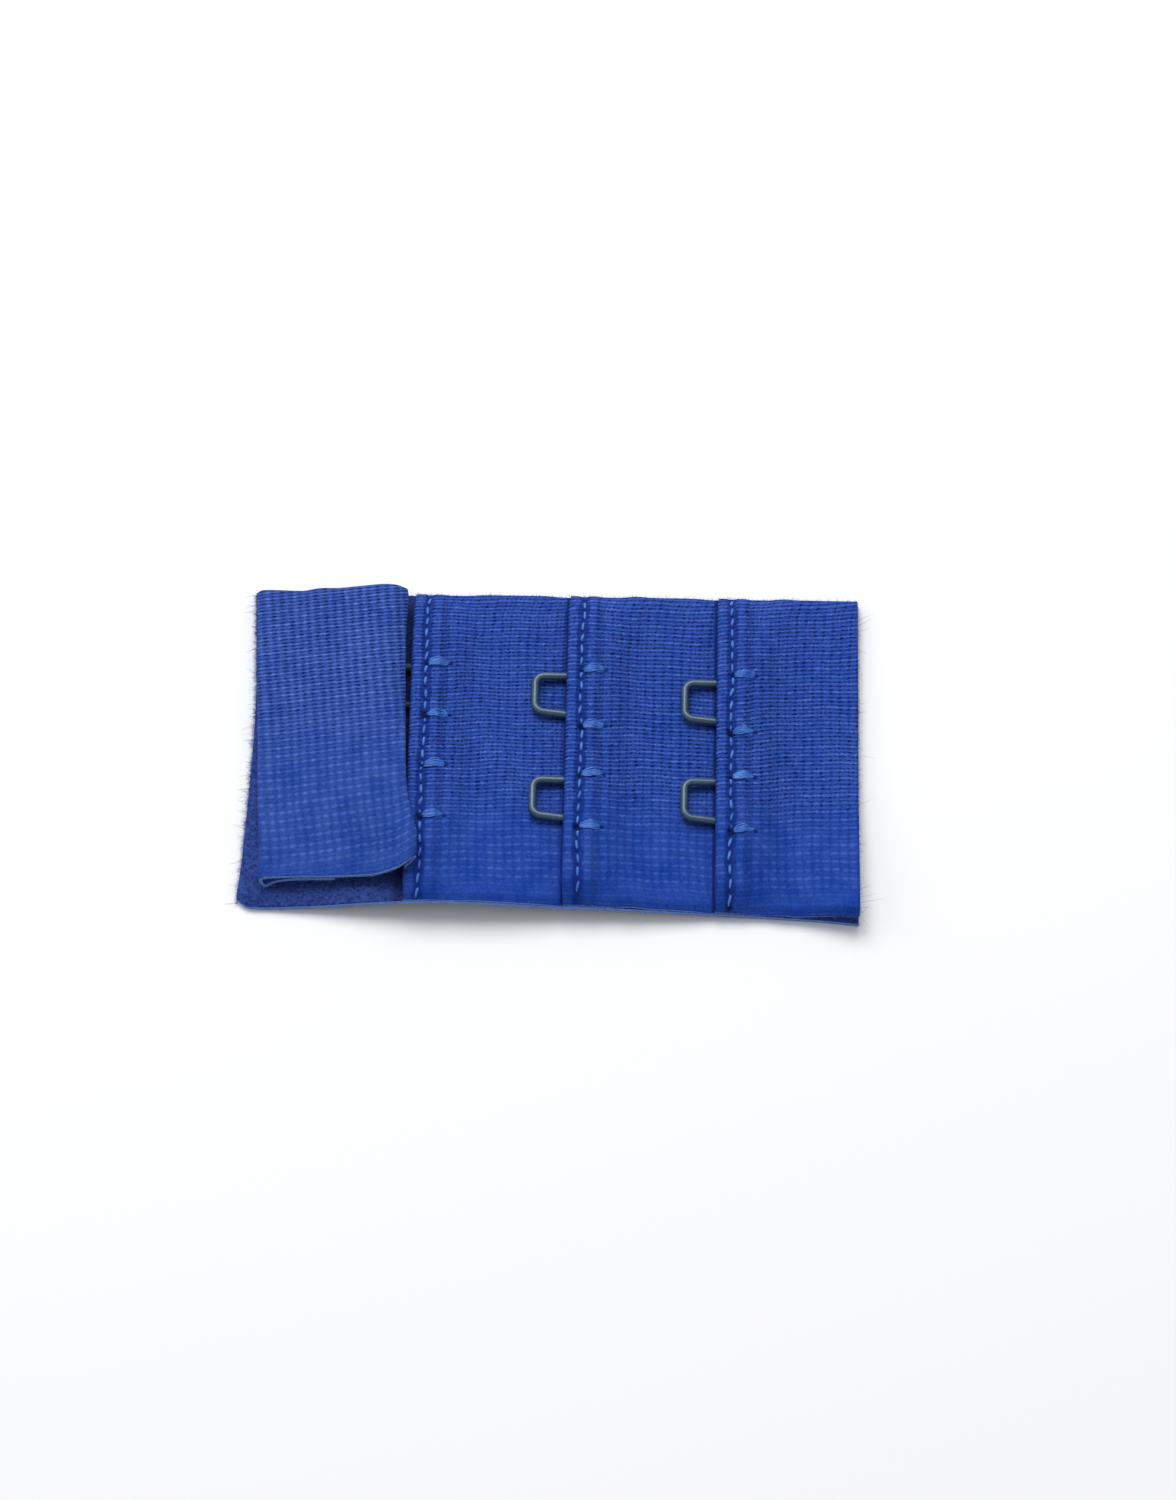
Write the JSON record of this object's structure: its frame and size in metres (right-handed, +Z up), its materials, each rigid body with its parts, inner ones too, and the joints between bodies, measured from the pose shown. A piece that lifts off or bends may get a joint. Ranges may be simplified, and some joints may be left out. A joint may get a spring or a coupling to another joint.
{
  "type": "hook and eye clasp",
  "caption": "Sew-in back closure for a garment: an eye tape in blue knit with wire eyes in three columns, and a hook tape fastened in the first.",
  "frame": {"origin": "middle of the clasp's outline seen from above, on the surface that it lies on", "axes": "+X along the clasp, from the tongue under the hook tape to the tail; +Y across the clasp, away from the viewer; +Z up, out of the facings"},
  "size_m": [0.0655, 0.0386, 0.006],
  "materials": {
    "brushed_backing": "brushed, soft pile",
    "facing_knit": "fine knit",
    "hook_tape_knit": "coarser knit",
    "coated_wire": "glossy dark coating"
  },
  "bodies": {
    "root": {"backing_tape": "brushed_backing", "facing_1": "facing_knit", "facing_2": "facing_knit", "facing_3": "facing_knit", "hook_tape": "hook_tape_knit", "eye_1_back": "coated_wire", "eye_1_front": "coated_wire", "eye_2_back": "coated_wire", "eye_2_front": "coated_wire", "eye_3_back": "coated_wire", "eye_3_front": "coated_wire", "hook_back": "coated_wire", "hook_front": "coated_wire"}
  },
  "joints": []
}
